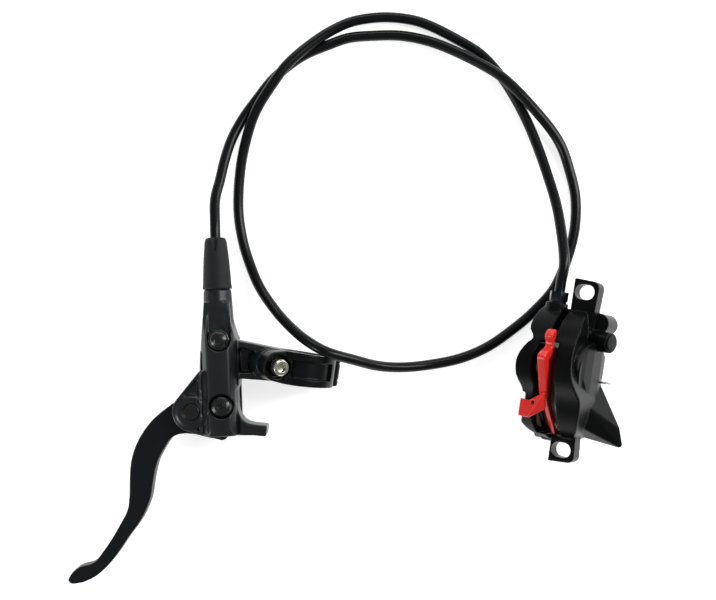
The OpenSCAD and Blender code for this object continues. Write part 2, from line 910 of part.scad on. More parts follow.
/* Caliper */
caliper_at = [125.6, -0.5, 12.8];
caliper_lean = -8.6;
disc_x = -7;
pad_gap = spacer_t + 0.9;
pad_face = pad_gap / 2;
pad_back = pad_face + lining_t + plate_t;
cavity = pad_back + 0.35;
pad_front = 13;
window_top = 12;
inner_window = [[5.2, 11], [6.2, 6], [6.6, 0], [5.6, -5], [3.6, -9], [4.2, -14], [4.8, -20], [4, -28]];
outer_window = [[4.2, 11], [3.8, 5], [4.6, -4], [6, -11], [6.6, -18], [6.2, -24], [5, -29]];
disc_slot = 3.2;
disc_r = 80.2;
disc_centre_z = 73;
seal_x = cavity + 1.2;
drilling_r = 0.8;
piston_shoulder = 9.6;
upper_y = 0;
lower_y = upper_y - piston_pitch;
piston_z = [1.5, -4.6];
low_end = lower_y - 9.7;
fitting = [-12.5, -2];
hose_port_y = 28.5;
front_r = 33;
front_at = [-1.5, -15];
body_back = -20;
pin_at = [-3.6, -15.5];
pin_r = 1.5;
pin_head_r = 2.6;
pin_seat = 10.4;
clip_r = 3.2;
clip_x = disc_x + half_t + 5.4;
bolt_places = [[17.6, -6.4, half_t - 1.6], [-31, -15.4, 8]];
bolt_head_r = 3.8;
port_depth = 7.2;
bleed_end = [disc_x + half_t + 9, 15.4, -1];
bleed_tilt = 17.5;
crossing = [24, -14];
cross_seal_r = 2.4;

module in_caliper() {
    // Caliper frame: X across the disc, Y along the mount slots, Z out of the mount faces
    translate(caliper_at)
        rotate([0, 0, caliper_lean])
            rotate([0, -caliper_tilt, 0])
                children();
}

function on_caliper(p) = caliper_at + turn_z([
    p[0] * cos(caliper_tilt) - p[2] * sin(caliper_tilt), p[1],
    p[0] * sin(caliper_tilt) + p[2] * cos(caliper_tilt)
], caliper_lean);

module inner_outline(reach) {
    // Inner half from the front, with a lobe round each piston; disc plane at x = 0
    polygon(concat([[0, 28.5], [reach - 3.4, 28.5]], smooth_line([
        [reach - 3.4, 28.5], [reach - 1.9, 26], [reach - 1.7, 18], [reach - 5, 13], [reach - 3, 10],
        [reach - 0.4, 5], [reach + 0.3, 0], [reach - 0.6, -5], [reach - 3.4, -9.6], [reach - 4.4, -11.6],
        [reach - 3.4, -14], [reach - 1.4, -18], [reach - 1, -23], [reach - 2.6, -28.4], [reach - 6.4, -32],
        [reach - 12, -33.8]
    ]), [[0, -34]]));
}

module outer_outline() {
    // Outer half from the front: narrow at the top, wide below where it meets the cover
    polygon(concat([[0, 28.5], [9.4, 28.5]], smooth_line([
        [9.4, 28.5], [10.4, 26], [11.8, 18], [11.8, 13], [11.9, 7], [12.6, 0], [14.2, -5], [15.8, -8],
        [17.3, -10.7], [18, -13], [17.7, -18], [16, -24.6], [13.8, -29], [9.4, -32.6]
    ]), [[4, -34], [0, -34]]));
}

module body_profile() {
    // Side outline of the caliper as [y, z]: an arc in front, a flat back
    intersection() {
        translate(front_at)
            circle(r = front_r, $fn = 96);
        polygon([
            [-36, -16], [-30, body_back], [22, body_back], [29, -12], [29, 30], [-36, 30]
        ]);
    }
}

module half_body() {
    // One half from its outline, disc plane at x = 0, growing to +X
    intersection() {
        translate([0, 0, -60])
            linear_extrude(height = 120)
                children();
        rotate([90, 0, 90])
            linear_extrude(height = 40)
                body_profile();
    }
}

module window(edge) {
    // Opening in front of the pads; edge holds its side as [x, y] from the disc plane
    linear_extrude(height = 40)
        polygon(concat([[-1, window_top], [edge[0][0], window_top]], smooth_line(edge),
            [[edge[len(edge) - 1][0], low_end], [-1, low_end]]));
}

module half_cuts() {
    // Pad space, disc slot, piston bores and drillings of one half, disc plane at x = 0
    box(-1, cavity, low_end, window_top, -40, pad_front);
    translate([-1, 0, 0])
        rotate([90, 0, 90])
            linear_extrude(height = 1 + disc_slot / 2)
                difference() {
                    square_between(-50, 50, -60, 60);
                    translate([(upper_y + lower_y) / 2, disc_centre_z])
                        square_between(-60, 60, -200, -disc_r);
                }
    for (p = piston_set()) {
        turned_x([
            [0, cavity - 1], [p[1] + 0.05, cavity - 1], [p[1] + 0.05, piston_shoulder + 0.1],
            [p[1] - 2.4, half_t - 1.6], [0, half_t - 1.6]
        ], p[0], p[2]);
        cyl_x(p[1] + 1.3, seal_x, seal_x + 2.1, p[0], p[2]);
    }
    cyl_y(drilling_r, lower_y, upper_y, half_t - 3, -1);
    // Crossing to the other half and its ring seal's groove
    cyl_x(drilling_r, -1, 6, crossing[0], crossing[1]);
    cyl_x(cross_seal_r + running_gap, -1, 0.85, crossing[0], crossing[1]);
    cyl_z(drilling_r, crossing[1], fitting[1], 6, crossing[0]);
    cyl_y(drilling_r, upper_y + 8, crossing[0], 6, fitting[1]);
    cyl_x(pin_r + 0.05, -1, half_t + 20, pin_at[0], pin_at[1]);
}

// Each piston as [y, radius, z]
function piston_set() = [
    [upper_y, upper_piston_d / 2, piston_z[0]], [lower_y, lower_piston_d / 2, piston_z[1]]
];

module caliper_inner_half() {
    // Half with the hose fitting
    color("#1a1b1d")
    in_caliper()
        difference() {
            union() {
                translate([disc_x, 0, 0])
                    mirror([1, 0, 0])
                        half_body()
                            inner_outline(half_t);
                // Seat of the hose nut
                cyl_y(5.6, 20, hose_port_y + 2, fitting[0], fitting[1]);
                // Boss round the upper body bolt
                cyl_x(4.4, disc_x - bolt_places[0][2], disc_x - 6, bolt_places[0][0], bolt_places[0][1]);
                cyl_x(4.4, disc_x - bolt_places[1][2], disc_x - 1, bolt_places[1][0], bolt_places[1][1]);
            }
            translate([disc_x, 0, 0])
                mirror([1, 0, 0])
                    half_cuts();
            translate([disc_x, 0, 0])
                mirror([1, 0, 0])
                    window(inner_window);
            // Slanted front corner beside the lower piston
            translate([0, lower_y + 9, 0])
                rotate([90, 0, 0])
                    linear_extrude(height = 30)
                        polygon([[-15.2, 14.6], [-20.8, 1.4], [-26, 1.4], [-26, 24], [-15.2, 24]]);
            cyl_y(port_r, hose_port_y - port_depth, hose_port_y + 3, fitting[0], fitting[1]);
            for (b = bolt_places) {
                cyl_x(2.3, disc_x - 30, disc_x + 1, b[0], b[1]);
                cyl_x(bolt_head_r + 0.2, disc_x - 30, disc_x - b[2], b[0], b[1]);
            }
            cyl_x(pin_head_r + slip_gap, disc_x - 30, disc_x - pin_seat, pin_at[0], pin_at[1]);
        }
}

module mount_ear(side) {
    // Ear with its mount slot; side is 1 for the upper and -1 for the lower ear
    root = side > 0 ? 20 : 26;
    translate([0, 0, -ear_t])
        linear_extrude(height = ear_t)
            difference() {
                hull() {
                    translate([3.6, side * (mount_spacing / 2 + 2.2)])
                        circle(r = 3.2);
                    translate([-5, side * (mount_spacing / 2 + 4)])
                        circle(r = 2);
                    translate([-0.6, side * root])
                        square([12.6, 4], center = true);
                }
                translate([0, side * mount_spacing / 2])
                    mount_slot();
            }
}

module mount_slot() {
    // Slot outline: two half circles joined by straight sides
    shift = (slot_len - slot_w) / 2;
    translate([-shift, 0])
        circle(r = slot_w / 2);
    translate([shift, 0])
        circle(r = slot_w / 2);
    square([2 * shift, slot_w], center = true);
}

module wing() {
    // Cover over the outer pistons: lobed in front, flared towards the lower back corner
    intersection() {
        rotate([90, 0, 90])
            linear_extrude(height = 24)
                wing_outline();
        translate([0, 60, 0])
            rotate([90, 0, 0])
                linear_extrude(height = 120)
                    wing_section();
    }
    hull() {
        wing_corner([7.6, -24, -2.6]);
        wing_corner([7.2, -14, 2]);
        wing_corner([9, -7, -15.6]);
        wing_corner([21.4, -31, -18.6]);
        wing_corner([19.8, -24, -16.4]);
        wing_corner([6, -29, -13]);
    }
}

module wing_outline() {
    // Front edge of the cover as [y, z], with a lobe over each piston
    polygon(concat(smooth_line([
        [14.6, -4], [13.4, 4.4], [9.4, 11.6], [3.8, 14.4], [-0.8, 12], [-4, 7], [-9, 3.2], [-13.4, 6.2],
        [-18.4, 4.2], [-22.4, -1.2], [-26, -8], [-28.6, -15]
    ]), [[-28.6, -18], [8, -18]]));
}

module wing_section() {
    // Slope of the cover's face as [x, z]
    polygon([[0, 20], [5.8, 16], [6.6, 14], [8.4, 7], [9.5, 0], [10, -10], [9.4, -17], [8, -19], [0, -19]]);
}

module wing_corner(at) {
    translate(at)
        sphere(r = 1.6, $fn = 24);
}

module in_bleed_boss() {
    // Frame at the end of the bleed boss, X out of it
    in_caliper()
        bleed_frame()
            children();
}

module bleed_frame() {
    translate(bleed_end)
        rotate([0, -bleed_tilt, 0])
            children();
}

module caliper_outer_half() {
    // Half with the mount ears, bleed boss and fairing
    outer_x = disc_x + half_t;
    color("#1a1b1d")
    in_caliper()
        difference() {
            union() {
                mount_ear(-1);
                mount_ear(1);
                translate([disc_x, 0, 0])
                    half_body()
                        outer_outline();
                cyl_x(upper_piston_d / 2 + 1.7, 0, outer_x + 0.6, upper_y, piston_z[0]);
                wing();
                bleed_frame()
                    cyl_x(4.75, -15, 0);
                cyl_z(4.8, -18, -3, 8, 23.5);
            }
            translate([disc_x, 0, 0]) {
                half_cuts();
                window(outer_window);
            }
            for (b = bolt_places)
                cyl_x(2.12, disc_x - 1, disc_x + 10.5, b[0], b[1]);
            bleed_frame()
                cyl_x(2.5, -11, 1);
        }
}

module body_bolts() {
    // Bolts that join the two halves
    color("#2a2c2e")
    in_caliper()
        for (b = bolt_places)
            difference() {
                union() {
                    cyl_x(2.1, disc_x - b[2] - 0.5, disc_x + 10, b[0], b[1]);
                    cyl_x(bolt_head_r, disc_x - b[2] - 3.4, disc_x - b[2], b[0], b[1]);
                }
                translate([disc_x - b[2] - 4, b[0], b[1]])
                    rotate([0, 90, 0])
                        cylinder(h = 2.8, r = 2.2, $fn = 6);
            }
}

module crossover_seal() {
    // Ring seal where the fluid crosses between the halves
    color("#101010")
    in_caliper()
        difference() {
            cyl_x(cross_seal_r, disc_x - 0.8, disc_x + 0.8, crossing[0], crossing[1]);
            cyl_x(1.2, disc_x - 2, disc_x + 2, crossing[0], crossing[1]);
        }
}

module facing(side) {
    // Mirrors the outer half's pieces to the inner side
    in_caliper()
        translate([disc_x, 0, 0])
            mirror([side > 0 ? 0 : 1, 0, 0])
                children();
}

module piston_pair(side) {
    // Cup-shaped pistons of one half; side is -1 inner, 1 outer
    color("#b5aa98")
    facing(side)
        for (p = piston_set())
            difference() {
                turned_x([
                    [0, pad_back + 0.02], [p[1], pad_back + 0.02], [p[1], piston_shoulder],
                    [p[1] - 2, half_t - 2.2], [0, half_t - 2.2]
                ], p[0], p[2]);
                cyl_x(p[1] - 3.4, pad_back - 1, half_t - 4.4, p[0], p[2]);
            }
}

module piston_seals(side) {
    // Square-cut seals in the grooves of one half
    color("#161618")
    facing(side)
        for (p = piston_set())
            difference() {
                cyl_x(p[1] + 1.25, seal_x + 0.05, seal_x + 2.05, p[0], p[2]);
                cyl_x(p[1] + 0.02, seal_x - 1, seal_x + 4, p[0], p[2]);
            }
}

module inner_pistons() { piston_pair(-1); }
module outer_pistons() { piston_pair(1); }
module inner_piston_seals() { piston_seals(-1); }
module outer_piston_seals() { piston_seals(1); }

module pad_outline() {
    // Pad plate as [y, z], with the tail that hangs on the pin
    polygon([
        [low_end + 0.8, -12], [low_end + 0.8, -8.6], [lower_y - 5, -3.4], [lower_y, 2.6], [lower_y + 4.6, 8],
        [lower_y + 9, 10.4], [upper_y + 6, 11.4], [upper_y + 10.6, 6], [upper_y + 10.6, -6], [pin_at[0] + 7, -8.4],
        [pin_at[0] + 3.4, -18.4], [pin_at[0] - 3.4, -18.4], [pin_at[0] - 7, -10], [low_end + 5, -12]
    ]);
}

module lining_outline() {
    // Friction lining as [y, z]
    polygon([
        [low_end + 1.8, -10], [low_end + 1.8, -8.8], [lower_y - 4.4, -4.2], [lower_y + 0.4, 1.4],
        [lower_y + 5.2, 7], [lower_y + 9.4, 9.4], [upper_y + 5.4, 10.4], [upper_y + 9.6, 5.4], [upper_y + 9.6, -5],
        [lower_y + 8, -6], [low_end + 5, -6]
    ]);
}

module pad_layer(side, near, thick) {
    // Plate or lining set off from the disc plane on one side
    in_caliper()
        translate([disc_x + (side > 0 ? near : -near - thick), 0, 0])
            rotate([90, 0, 90])
                linear_extrude(height = thick)
                    children();
}

module pad_plate(side) {
    color("#6b6e70")
    pad_layer(side, pad_face + lining_t, plate_t)
        difference() {
            pad_outline();
            translate(pin_at)
                circle(r = pin_r + 0.3);
        }
}

module pad_lining(side) {
    color("#3a2f28")
    pad_layer(side, pad_face, lining_t)
        lining_outline();
}

module inner_pad_plate() { pad_plate(-1); }
module outer_pad_plate() { pad_plate(1); }
module inner_pad_lining() { pad_lining(-1); }
module outer_pad_lining() { pad_lining(1); }

module pad_spring() {
    // Sheet spring that spreads the pads
    sheet = 0.4;
    wide = pad_face + lining_t - 0.6;
    color("#a0a2a4")
    in_caliper()
        for (y0 = [-22, 4])
            translate([disc_x, y0, 0])
                rotate([90, 0, 0])
                    linear_extrude(height = 4)
                        polygon([
                            [-wide, -6.6], [-wide, -11.4], [0, -12.6], [wide, -11.4], [wide, -6.6],
                            [wide - sheet, -6.6], [wide - sheet, -11], [0, -12.6 + sheet],
                            [-wide + sheet, -11], [-wide + sheet, -6.6]
                        ]);
}

module pad_pin() {
    // Pin that the pads hang on
    color("#a8aaac")
    in_caliper()
        difference() {
            union() {
                cyl_x(pin_r, disc_x - pin_seat - 1, clip_x + 1.6, pin_at[0], pin_at[1]);
                cyl_x(pin_head_r, disc_x - pin_seat - 3.4, disc_x - pin_seat, pin_at[0], pin_at[1]);
            }
            cyl_z(0.85, pin_at[1] - 3, pin_at[1] + 3, clip_x, pin_at[0]);
        }
}

module pad_pin_clip() {
    // Small ring clip through the end of the pin
    color("#d0d2d4")
    in_caliper()
        translate([clip_x + clip_r - 0.2, pin_at[0], pin_at[1]])
            rotate([90, 0, 0])
                rotate_extrude()
                    translate([clip_r, 0])
                        circle(r = 0.4, $fn = 12);
}

module caliper_bleed_screw() {
    // Bleed screw in the caliper's boss
    color("#5c5f61")
    in_bleed_boss()
        difference() {
            cyl_x(2.45, -11, -1);
            translate([-3, 0, 0])
                rotate([0, 90, 0])
                    cylinder(h = 3, r = 1.2, $fn = 6);
        }
}

module caliper_bleed_cap() {
    // Rubber cap over the bleed screw
    color("#202224")
    in_bleed_boss()
        union() {
            cyl_x(3.5, 0, 0.8);
            cyl_x(2.4, -0.98, 0.4);
        }
}

module caliper_hose_nut() {
    // Nut that clamps the hose into the caliper
    color("#6c6f71")
    in_caliper()
        translate([fitting[0], hose_port_y - 2, fitting[1]])
            hose_nut(4.8, 4.4);
}

module caliper_olive() {
    // Olive at the caliper end
    color("#b8964a")
    in_caliper()
        translate([fitting[0], hose_port_y - port_depth + 1.4, fitting[1]])
            olive();
}

// Front rim of the spacer, thicker than the blade between the pads
rim_t = 3.8;
rim_back = 12.2;
tab_z = 15.3;
tab_t = 1.8;
tab_tall = 8;
tab_pitch = 23;

module spacer_outline() {
    // Blade of the transport spacer as [y, z]
    polygon([
        [11.6, 15.4], [9, 15], [7.6, 21.8], [5, 24.2], [0, 21.6], [-8.2, 17], [-13, 13.6], [-16.6, 9.8], [-22, 4],
        [-26, -1], [-31, -7], [-31, -10], [-27.4, -10], [-20, -2], [8, 2]
    ]);
}

module rim_outline() {
    // Front rim as [y, z]: a short finger above, then the bow over the pads
    polygon(concat(smooth_line([
        [17.8, 14], [17.6, 16.2], [15, 19], [13.2, 18.2], [11.6, 16.8], [9.4, 17], [7.4, 21.6], [4.8, 24.4],
        [0, 21.8], [-8.2, 17.2], [-14.4, 13.6]
    ]), [[-13.6, rim_back], [-8, rim_back + 0.6], [0, rim_back + 4.6], [4, rim_back + 6.6], [6, rim_back + 2],
        [8, rim_back + 1], [11, rim_back + 2.4], [12.2, rim_back + 2.9], [15, rim_back + 1.4]]));
}

module spacer_tab() {
    // Finger tab that folds down over the inner half
    difference() {
        union() {
            hull() {
                translate([0, -14.6, 15])
                    rotate([tab_pitch, 0, 0])
                        box(1, rim_t / 2, -tab_tall / 2, tab_tall / 2, 0, tab_t);
                box(-5.4, -4.8, -23.8, -23.8 + tab_tall, tab_z, tab_z + tab_t);
            }
            hull() {
                box(-5.4, -4.8, -23.8, -23.8 + tab_tall, tab_z, tab_z + tab_t);
                box(-9.8, -9.4, -23.6, -23.6 + tab_tall, tab_z - 0.5, tab_z - 0.5 + tab_t);
            }
        }
        cyl_z(0.9, 0, 40, -3.4, -16.6);
    }
}

module pad_spacer() {
    // Red transport spacer between the pads
    color("#ee2a24")
    in_caliper()
        translate([disc_x, 0, 0]) {
            translate([-spacer_t / 2, 0, 0])
                rotate([90, 0, 90])
                    linear_extrude(height = spacer_t)
                        spacer_outline();
            translate([-rim_t / 2, 0, 0])
                rotate([90, 0, 90])
                    linear_extrude(height = rim_t)
                        rim_outline();
            spacer_tab();
        }
}

master_body();
bleed_screw();
bleed_seal();
port_screw();
port_seal();
reservoir_diaphragm();
reservoir_lid();
lid_screws();
clamp_band();
clamp_hinge_pin();
clamp_bolt();
lever_blade();
lever_bushes();
lever_axle();
axle_circlip();
push_rod();
master_piston();
primary_cup();
secondary_cup();
piston_spring();
piston_retainer();
hose_cover();
lever_hose_nut();
lever_olive();
hose_inserts();
hose();
caliper_inner_half();
caliper_outer_half();
body_bolts();
crossover_seal();
inner_pistons();
outer_pistons();
inner_piston_seals();
outer_piston_seals();
inner_pad_plate();
outer_pad_plate();
inner_pad_lining();
outer_pad_lining();
pad_spring();
pad_pin();
pad_pin_clip();
caliper_bleed_screw();
caliper_bleed_cap();
caliper_hose_nut();
caliper_olive();
pad_spacer();
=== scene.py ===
"""Looks of the hydraulic disc brake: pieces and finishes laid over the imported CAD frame.

Every size is in metres and every place is in the row frame: the origin is the centre of the
handlebar clamp, X to the right, Y along the brake lever's barrel, Z up from the table.
"""

from __future__ import annotations

import logging
import math
from dataclasses import dataclass, field
from enum import Enum

import bpy
from mathutils import Matrix, Vector


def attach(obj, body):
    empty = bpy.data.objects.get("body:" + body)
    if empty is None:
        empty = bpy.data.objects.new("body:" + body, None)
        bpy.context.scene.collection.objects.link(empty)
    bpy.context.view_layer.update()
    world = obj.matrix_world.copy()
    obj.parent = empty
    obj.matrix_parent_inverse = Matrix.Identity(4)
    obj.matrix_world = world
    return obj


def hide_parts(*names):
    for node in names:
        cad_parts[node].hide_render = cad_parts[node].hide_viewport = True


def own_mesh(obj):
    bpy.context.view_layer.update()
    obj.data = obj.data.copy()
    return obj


LOG = logging.getLogger("disc_brake")
MM = 0.001
TABLE_Z = -15.2 * MM


class Body(Enum):
    """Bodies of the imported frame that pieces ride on."""

    BASE = "base"
    LEVER = "lever"
    PISTON = "piston"
    INNER_PAD = "inner_pad"
    OUTER_PAD = "outer_pad"
    SPACER = "spacer"


# Frames of the two ends of the brake


def turn(axis: str, degrees: float) -> Matrix:
    """Rotation about one axis of the row frame.

    Args:
        axis: "X", "Y" or "Z".
        degrees: Angle in degrees, by the right-hand rule.

    Returns:
        The rotation as a 4 x 4 matrix.
    """
    return Matrix.Rotation(math.radians(degrees), 4, axis)


LEVER_FRAME = turn("Z", 2.2)
CLAMP_FRAME = turn("Z", -8.0)
CYLINDER = Vector((-39.0, 0.0, 1.5)) * MM
PIVOT = Vector((-52.1, -17.8, 0.0)) * MM
CALIPER_FRAME = Matrix.Translation(Vector((125.6, -0.5, 12.8)) * MM) @ turn("Z", -8.6) @ turn("Y", -30.0)


# Operators on meshes


def select_only(obj: bpy.types.Object) -> None:
    """Makes one object active and the only one selected.

    Args:
        obj: The object that the next operators work on.
    """
    bpy.ops.object.select_all(action="DESELECT")
    obj.select_set(True)
    bpy.context.view_layer.objects.active = obj


def settle(obj: bpy.types.Object) -> None:
    """Applies every modifier of an object in order.

    Args:
        obj: The object with the modifiers.
    """
    select_only(obj)
    for modifier in list(obj.modifiers):
        bpy.ops.object.modifier_apply(modifier=modifier.name)


def copy_of_node(node: str, name: str) -> bpy.types.Object:
    """Copies a CAD node into a new piece with its triangles merged into faces.

    Args:
        node: Name of the CAD node.
        name: Name of the new piece.

    Returns:
        The new piece, at the origin with its place in its mesh.
    """
    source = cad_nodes()[node]
    obj = bpy.data.objects.new(name, source.data.copy())
    obj.data.materials.clear()
    bpy.context.scene.collection.objects.link(obj)
    select_only(obj)
    bpy.ops.object.mode_set(mode="EDIT")
    bpy.ops.mesh.select_all(action="SELECT")
    bpy.ops.mesh.remove_doubles(threshold=0.002 * MM)
    bpy.ops.mesh.dissolve_limited(angle_limit=math.radians(0.6))
    bpy.ops.object.mode_set(mode="OBJECT")
    return obj


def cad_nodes() -> dict[str, bpy.types.Object]:
    """CAD nodes of the loaded frame by name."""
    return FRAME["nodes"]


def soften(obj: bpy.types.Object, voxel: float, passes: int) -> None:
    """Rounds the edges of a casting: an even skin of small faces that is smoothed.

    Args:
        obj: The piece.
        voxel: Size of the skin's faces, in metres.
        passes: Number of smoothing passes.
    """
    skin = obj.modifiers.new("skin", "REMESH")
    skin.mode = "VOXEL"
    skin.voxel_size = voxel
    skin.use_smooth_shade = True
    smooth = obj.modifiers.new("smooth", "SMOOTH")
    smooth.factor = 0.5
    smooth.iterations = passes
    settle(obj)


def chamfer(obj: bpy.types.Object, width: float, segments: int = 2, angle: float = 35.0) -> None:
    """Breaks the sharp edges of a machined or moulded piece.

    Args:
        obj: The piece.
        width: Width of the broken edge, in metres.
        segments: Number of steps across the edge.
        angle: Edges sharper than this angle, in degrees, are broken.
    """
    bevel = obj.modifiers.new("edge", "BEVEL")
    bevel.width = width
    bevel.segments = segments
    bevel.limit_method = "ANGLE"
    bevel.angle_limit = math.radians(angle)
    bevel.harden_normals = False
    settle(obj)
    shade(obj, 32.0)


def shade(obj: bpy.types.Object, angle: float) -> None:
    """Shades an object smooth, except at edges sharper than an angle.

    Args:
        obj: The piece.
        angle: The angle in degrees.
    """
    select_only(obj)
    bpy.ops.object.shade_smooth_by_angle(angle=math.radians(angle))


def turned(name: str, profile: list[tuple[float, float]], place: Matrix, steps: int = 72) -> bpy.types.Object:
    """Spins a profile round Z into a closed turned piece and sets it in its place.

    Args:
        name: Name of the piece.
        profile: Points as (radius, height) in millimetres, from the axis round to the axis.
        place: Matrix that takes the piece's Z axis to its place.
        steps: Number of facets round the axis.

    Returns:
        The new piece.
    """
    bpy.ops.object.select_all(action="DESELECT")
    bpy.ops.mesh.primitive_plane_add(size=MM)
    obj = bpy.context.active_object
    obj.name = name
    bpy.ops.object.mode_set(mode="EDIT")
    bpy.ops.mesh.select_mode(type="VERT")
    bpy.ops.mesh.select_all(action="SELECT")
    bpy.ops.mesh.merge(type="CENTER")
    at = Vector((profile[0][0], 0.0, profile[0][1])) * MM
    bpy.ops.transform.translate(value=at)
    for radius, height in profile[1:]:
        to = Vector((radius, 0.0, height)) * MM
        bpy.ops.mesh.extrude_region_move(TRANSFORM_OT_translate={"value": to - at})
        at = to
    bpy.ops.mesh.select_all(action="SELECT")
    bpy.ops.mesh.spin(steps=steps, angle=2 * math.pi, center=(0, 0, 0), axis=(0, 0, 1))
    bpy.ops.mesh.select_all(action="SELECT")
    bpy.ops.mesh.remove_doubles(threshold=0.003 * MM)
    bpy.ops.mesh.normals_make_consistent(inside=False)
    bpy.ops.object.mode_set(mode="OBJECT")
    obj.data.transform(place)
    return obj


def cut(obj: bpy.types.Object, tool: bpy.types.Object) -> None:
    """Cuts one shape out of a piece and removes the tool.

    Args:
        obj: The piece.
        tool: The shape that is taken away.
    """
    difference = obj.modifiers.new("cut", "BOOLEAN")
    difference.operation = "DIFFERENCE"
    difference.solver = "EXACT"
    difference.object = tool
    settle(obj)
    bpy.data.objects.remove(tool, do_unlink=True)


def hand_over(obj: bpy.types.Object, finish: Finish, body: Body, slot: str, *nodes: str) -> None:
    """Gives a finished piece its material and its body, and hides and logs the CAD nodes that it stands for.

    Args:
        obj: The piece.
        finish: Its finish.
        body: The body that it rides on.
        slot: The record's material slot; not used.
        nodes: The CAD nodes that it replaces.
    """
    obj.data.materials.clear()
    obj.data.materials.append(finish.material())
    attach(obj, body.value)
    if nodes:
        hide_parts(*nodes)
    LOG.info("%s rides on %s and stands for %s", obj.name, body.value, ", ".join(nodes) or "no node")


# Finishes


def linear(colour: str) -> tuple[float, float, float, float]:
    """Turns an sRGB hex colour into Blender's linear colour.

    Args:
        colour: Six hex digits after a number sign.

    Returns:
        Red, green, blue and alpha.
    """
    parts = [int(colour[i:i + 2], 16) / 255 for i in (1, 3, 5)]
    red, green, blue = (c / 12.92 if c <= 0.04045 else ((c + 0.055) / 1.055) ** 2.4 for c in parts)
    return red, green, blue, 1.0


def add_node(
    tree: bpy.types.NodeTree, kind: str, settings: dict[str, object] | None = None,
    inputs: dict[str, object] | None = None,
) -> bpy.types.Node:
    """Adds a node with its settings, input values and links.

    Args:
        tree: The node tree.
        kind: Blender's name of the node type.
        settings: Properties of the node.
        inputs: Values for its inputs, or output sockets to link to them.

    Returns:
        The new node.
    """
    node = tree.nodes.new(kind)
    for key, value in (settings or {}).items():
        setattr(node, key, value)
    for key, value in (inputs or {}).items():
        if isinstance(value, bpy.types.NodeSocket):
            tree.links.new(value, node.inputs[key])
        else:
            node.inputs[key].default_value = value
    return node


@dataclass(frozen=True)
class Finish:
    """A surface with a fine grain and a slow drift of tone, on Object coordinates.

    Args:
        name: What the surface is and how it was made.
        colour: Main colour, sRGB hex.
        shade: Second tone that the drift mixes in, sRGB hex.
        roughness: Mean roughness.
        metallic: 1 for bare metal.
        ior: Index of refraction of a coat or plastic.
        grain_mm: Size of the grain in millimetres.
        grain_depth_mm: Depth of the grain in millimetres.
        drift_mm: Size of the slow drift of tone.
        sheen: Strength of a soft bloom, as on rubber.
        coat: Strength of a clear coat.
        specular: Strength of the mirror reflection; 0.5 is that of a smooth surface.
    """

    name: str
    colour: str
    shade: str
    roughness: float
    metallic: float = 0.0
    ior: float = 1.5
    grain_mm: float = 0.5
    grain_depth_mm: float = 0.02
    drift_mm: float = 14.0
    sheen: float = 0.0
    coat: float = 0.0
    specular: float = 0.5

    def material(self) -> bpy.types.Material:
        """Makes the material once and returns it."""
        known = bpy.data.materials.get(self.name)
        if known:
            return known
        made = bpy.data.materials.new(self.name)
        made.use_nodes = True
        tree = made.node_tree
        tree.nodes.clear()
        place = add_node(tree, "ShaderNodeTexCoord").outputs["Object"]
        surface = add_node(tree, "ShaderNodeBsdfPrincipled", inputs={
            "Metallic": self.metallic, "IOR": self.ior, "Coat Weight": self.coat,
            "Specular IOR Level": self.specular, "Coat Roughness": 0.12, "Sheen Weight": self.sheen, "Sheen Roughness": 0.5,
        })
        self.paint(tree, place, surface)
        add_node(tree, "ShaderNodeOutputMaterial", inputs={"Surface": surface.outputs["BSDF"]})
        made.diffuse_color = linear(self.colour)
        return made

    def paint(self, tree: bpy.types.NodeTree, place: bpy.types.NodeSocket, surface: bpy.types.Node) -> None:
        """Links colour, roughness and bump to the shader.

        Args:
            tree: The node tree.
            place: Object coordinates.
            surface: The shader node.
        """
        drift = add_node(tree, "ShaderNodeTexNoise", inputs={
            "Vector": place, "Scale": 1 / (self.drift_mm * MM), "Detail": 3.0, "Roughness": 0.55,
        }).outputs["Fac"]
        tone = add_node(tree, "ShaderNodeValToRGB", inputs={"Fac": drift})
        tone.color_ramp.elements[0].position = 0.3
        tone.color_ramp.elements[0].color = linear(self.shade)
        tone.color_ramp.elements[1].position = 0.7
        tone.color_ramp.elements[1].color = linear(self.colour)
        grain = self.grain(tree, place)
        gloss = add_node(tree, "ShaderNodeMapRange", inputs={
            "Value": grain, "To Min": max(self.roughness - 0.05, 0.02), "To Max": self.roughness + 0.06,
        }).outputs["Result"]
        bump = add_node(tree, "ShaderNodeBump", inputs={
            "Height": grain, "Distance": self.grain_depth_mm * MM, "Strength": 1.0,
        }).outputs["Normal"]
        tree.links.new(tone.outputs["Color"], surface.inputs["Base Color"])
        tree.links.new(gloss, surface.inputs["Roughness"])
        tree.links.new(bump, surface.inputs["Normal"])

    def grain(self, tree: bpy.types.NodeTree, place: bpy.types.NodeSocket) -> bpy.types.NodeSocket:
        """Height of the fine grain.

        Args:
            tree: The node tree.
            place: Object coordinates.

        Returns:
            The socket with the height, from 0 to 1.
        """
        return add_node(tree, "ShaderNodeTexNoise", inputs={
            "Vector": place, "Scale": 1 / (self.grain_mm * MM), "Detail": 4.0, "Roughness": 0.6,
        }).outputs["Fac"]


